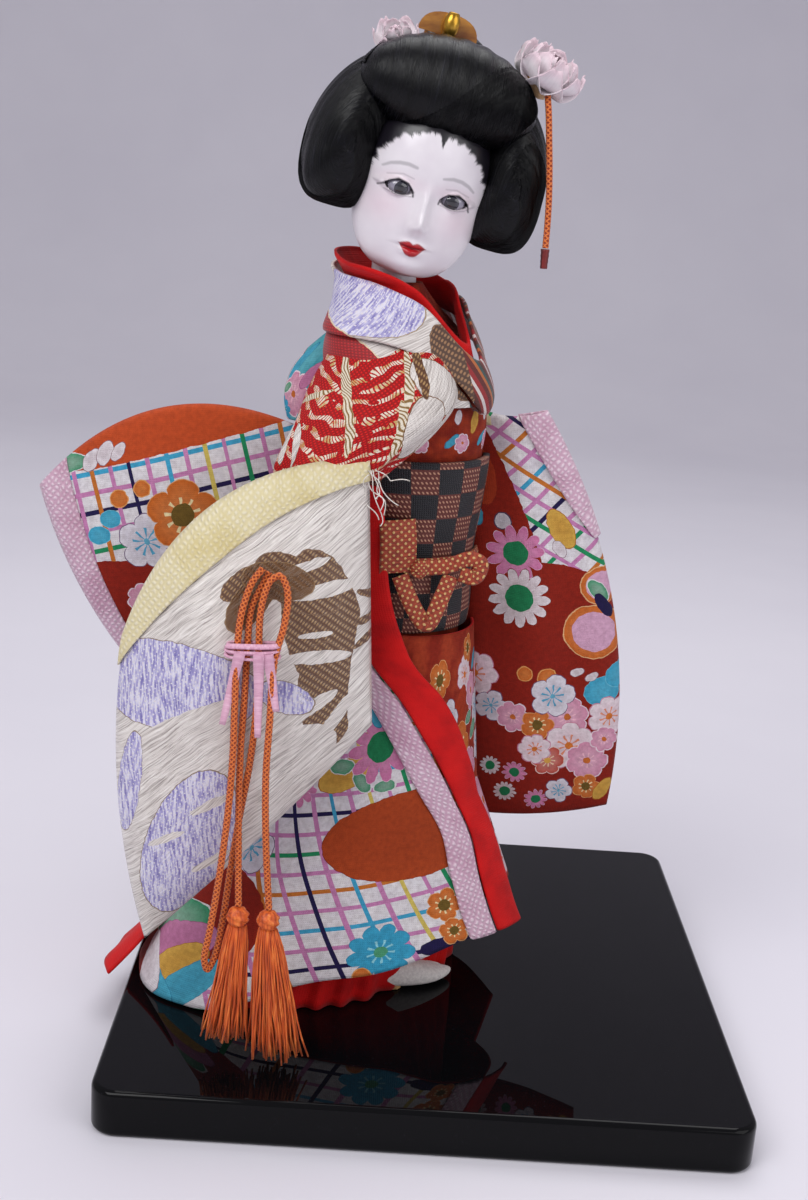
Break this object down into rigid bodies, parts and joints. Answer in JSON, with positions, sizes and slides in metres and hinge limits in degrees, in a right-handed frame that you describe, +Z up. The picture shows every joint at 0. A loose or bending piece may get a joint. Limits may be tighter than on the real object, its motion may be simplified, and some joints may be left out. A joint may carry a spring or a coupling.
{
  "type": "japanese doll",
  "caption": "Standing doll in a printed kimono and brocade over-robe with long sleeves and a tasselled cord, on a square black lacquered board.",
  "frame": {"origin": "middle of the board's underside", "axes": "+Z up, +X right along the board's front edge, +Y from the front edge to the back"},
  "size_m": [0.278, 0.24, 0.3948],
  "materials": {
    "lacquer": "glossy black lacquer",
    "steel": "plain",
    "wood": "bare",
    "stuffing": "paper wrapped straw and wire, matte",
    "white_cloth": "matte white cotton",
    "red_cloth": "red crepe",
    "pink_crepe": "dusty pink crepe",
    "print": "printed crepe in orange red, white check and flowers",
    "brocade": "white satin floss with bronze and lilac weave",
    "red_brocade": "red basket weave brocade with gold leaf strokes",
    "cream_crepe": "yellow cream crepe",
    "sash": "navy and rust check",
    "cord_sash": "orange cord with gold dots",
    "orange_cord": "braided silk",
    "dark_tip": "dark red silk binding",
    "pink_paper": "pink paper",
    "skin": "white shell lime paint, polished",
    "glass_eye": "dark polished glass",
    "hair": "black silk thread",
    "gold": "gilt",
    "petal": "white silk with pink edges"
  },
  "bodies": {
    "base": {"base_board": "lacquer", "base_screw_right": "steel", "base_screw_left": "steel", "leg_dowel_right": "wood", "leg_dowel_left": "wood", "foot_right": "white_cloth", "foot_left": "white_cloth", "arm_wire_right": "stuffing", "arm_wire_left": "stuffing", "hand_right": "skin", "hand_left": "skin", "torso_core": "stuffing", "petticoat": "red_cloth", "kimono_skirt": "print", "robe_skirt": "print", "robe_front_facing": "pink_crepe", "robe_front_lining": "red_cloth", "train_lining": "red_cloth", "kimono_bodice": "print", "sash_band": "sash", "sash_bow": "sash", "cord_sash": "cord_sash", "cord_sash_bow": "cord_sash", "robe_bodice": "brocade", "inner_collar": "red_cloth", "robe_collar": "brocade", "robe_upper_sleeve": "red_brocade", "robe_sleeve": "brocade", "robe_sleeve_facing": "cream_crepe", "kimono_shoulder_right": "print", "kimono_sleeve_right": "print", "sleeve_facing_right": "pink_crepe", "kimono_sleeve_left": "print", "sleeve_facing_left": "pink_crepe"},
    "head": {"head": "skin", "neck_peg": "wood", "eye_right": "glass_eye", "eye_left": "glass_eye", "hair_front_roll": "hair", "hair_wing_left": "hair", "hair_wing_right": "hair", "hair_back": "hair", "hair_topknot": "hair"},
    "flower_right": {"flower_right": "petal", "flower_right_cap": "gold", "flower_right_pin": "gold"},
    "flower_left": {"flower_left": "petal", "flower_left_pin": "gold"},
    "comb": {"comb": "gold", "comb_bead": "gold"},
    "dangle": {"dangle_cord": "orange_cord", "dangle_tip": "dark_tip"},
    "tassel": {"tassel_cord_short": "orange_cord", "tassel_cord_long": "orange_cord", "tassel_head_left": "orange_cord", "tassel_head_right": "orange_cord", "tassel_skirt_left": "orange_cord", "tassel_skirt_right": "orange_cord", "cord_tie": "pink_paper"}
  },
  "joints": [
    {"name": "head_turn", "type": "hinge", "parent": "base", "child": "head", "pos_m": [-0.031, -0.006, 0.3], "axis": [0, 0, 1], "range_deg": [-25, 25]},
    {"name": "flower_right_pull", "type": "slide", "parent": "head", "child": "flower_right", "axis": [0.9089, -0.1966, 0.3678], "range_m": [0, 0.02]},
    {"name": "flower_left_pull", "type": "slide", "parent": "head", "child": "flower_left", "axis": [-0.3087, -0.0318, 0.9506], "range_m": [0, 0.02]},
    {"name": "comb_pull", "type": "slide", "parent": "head", "child": "comb", "axis": [0.2175, -0.08, 0.9728], "range_m": [0, 0.012]},
    {"name": "dangle_swing", "type": "hinge", "parent": "flower_right", "child": "dangle", "pos_m": [0.02001, -0.02031, 0.36801], "axis": [0, -1, 0], "range_deg": [0, 35]},
    {"name": "tassel_swing", "type": "hinge", "parent": "base", "child": "tassel", "pos_m": [-0.06569, -0.07594, 0.20197], "axis": [-1, 0, 0], "range_deg": [0, 30]}
  ]
}
